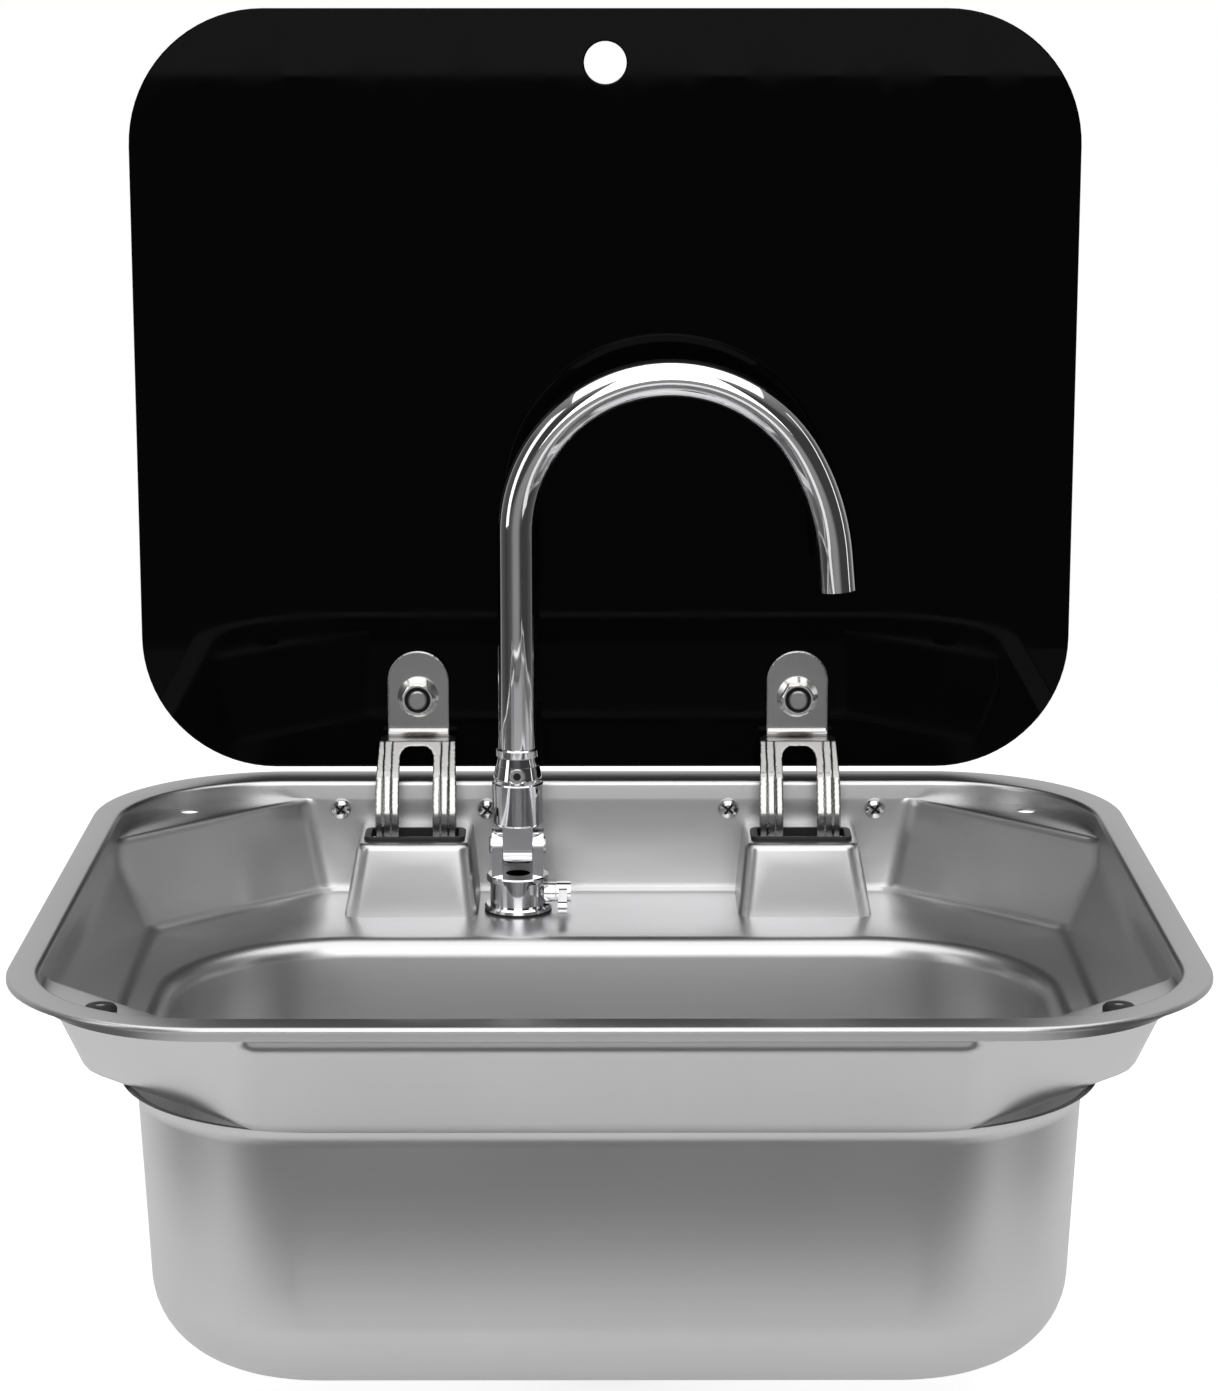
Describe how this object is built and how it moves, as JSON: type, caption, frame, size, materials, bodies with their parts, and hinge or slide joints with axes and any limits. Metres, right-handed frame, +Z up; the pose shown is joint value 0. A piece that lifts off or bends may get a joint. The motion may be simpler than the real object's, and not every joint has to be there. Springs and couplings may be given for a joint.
{
  "type": "drop-in sink with glass lid",
  "caption": "Drop-in pressed steel sink for a caravan, with a black glass lid on stepped hinge arms and a gooseneck tap that folds under the lid.",
  "frame": {"origin": "middle of the rim's outline, on the plane of the worktop that the rim rests on", "axes": "+Z up, -Y towards the user, +Y to the hinge side, +X to the user's right"},
  "size_m": [0.42, 0.3764, 0.5043],
  "materials": {
    "pressed_steel": "satin, brushed pressed stainless steel",
    "plain_steel": "satin",
    "bright_fasteners": "bright plated",
    "chrome": "polished",
    "brass": "machined",
    "black_glass": "black, opaque, polished toughened glass",
    "black_rubber": "matt",
    "black_plastic": "matt",
    "grey_plastic": "matt"
  },
  "bodies": {
    "sink": {"sink_bowl": "pressed_steel", "lid_buffers": "black_rubber", "buffer_pins": "grey_plastic", "slot_gasket_left": "black_rubber", "slot_gasket_right": "black_rubber", "hinge_bracket_left": "plain_steel", "hinge_bracket_right": "plain_steel", "hinge_pins": "plain_steel", "hinge_screws": "bright_fasteners", "hinge_screw_nuts": "bright_fasteners", "tap_body": "chrome", "tap_seal": "black_rubber", "tap_lower_seal": "black_rubber", "tap_washer": "plain_steel", "tap_nut": "brass", "drain_flange": "plain_steel", "drain_gasket": "black_rubber", "drain_nut": "black_plastic", "drain_cup": "black_plastic"},
    "lid": {"glass_lid": "black_glass", "hinge_arm_left": "plain_steel", "hinge_arm_right": "plain_steel", "lid_bolts": "bright_fasteners", "lid_nuts": "bright_fasteners", "lid_pads": "black_rubber", "lid_washers": "plain_steel"},
    "tap_head": {"tap_head": "chrome", "fold_pin": "plain_steel"},
    "spout": {"spout_knuckle": "chrome", "spout_tube": "chrome", "spout_outlet": "grey_plastic", "spout_screw": "plain_steel"},
    "lever": {"tap_lever": "chrome", "lever_spindle": "brass"},
    "plug": {"drain_plug": "black_rubber"}
  },
  "joints": [
    {"name": "lid_hinge", "type": "hinge", "parent": "sink", "child": "lid", "pos_m": [0, 0.17, -0.015], "axis": [1, 0, 0], "range_deg": [0, 90]},
    {"name": "tap_swivel", "type": "hinge", "parent": "sink", "child": "tap_head", "pos_m": [-0.0375, 0.136, -0.033], "axis": [0, 0, 1], "range_deg": [-30, 12]},
    {"name": "tap_fold", "type": "hinge", "parent": "tap_head", "child": "spout", "pos_m": [-0.0375, 0.136, -0.018], "axis": [1, 0, 0], "range_deg": [0, 90]},
    {"name": "valve_lever", "type": "hinge", "parent": "sink", "child": "lever", "pos_m": [-0.0189, 0.136, -0.0384], "axis": [-1, 0, 0], "range_deg": [0, 90]},
    {"name": "plug_lift", "type": "slide", "parent": "sink", "child": "plug", "axis": [0, 0, 1], "range_m": [0, 0.025]}
  ],
  "couplings": [
    {"joint": "tap_fold", "follows": "lid_hinge", "ratio": 1}
  ]
}
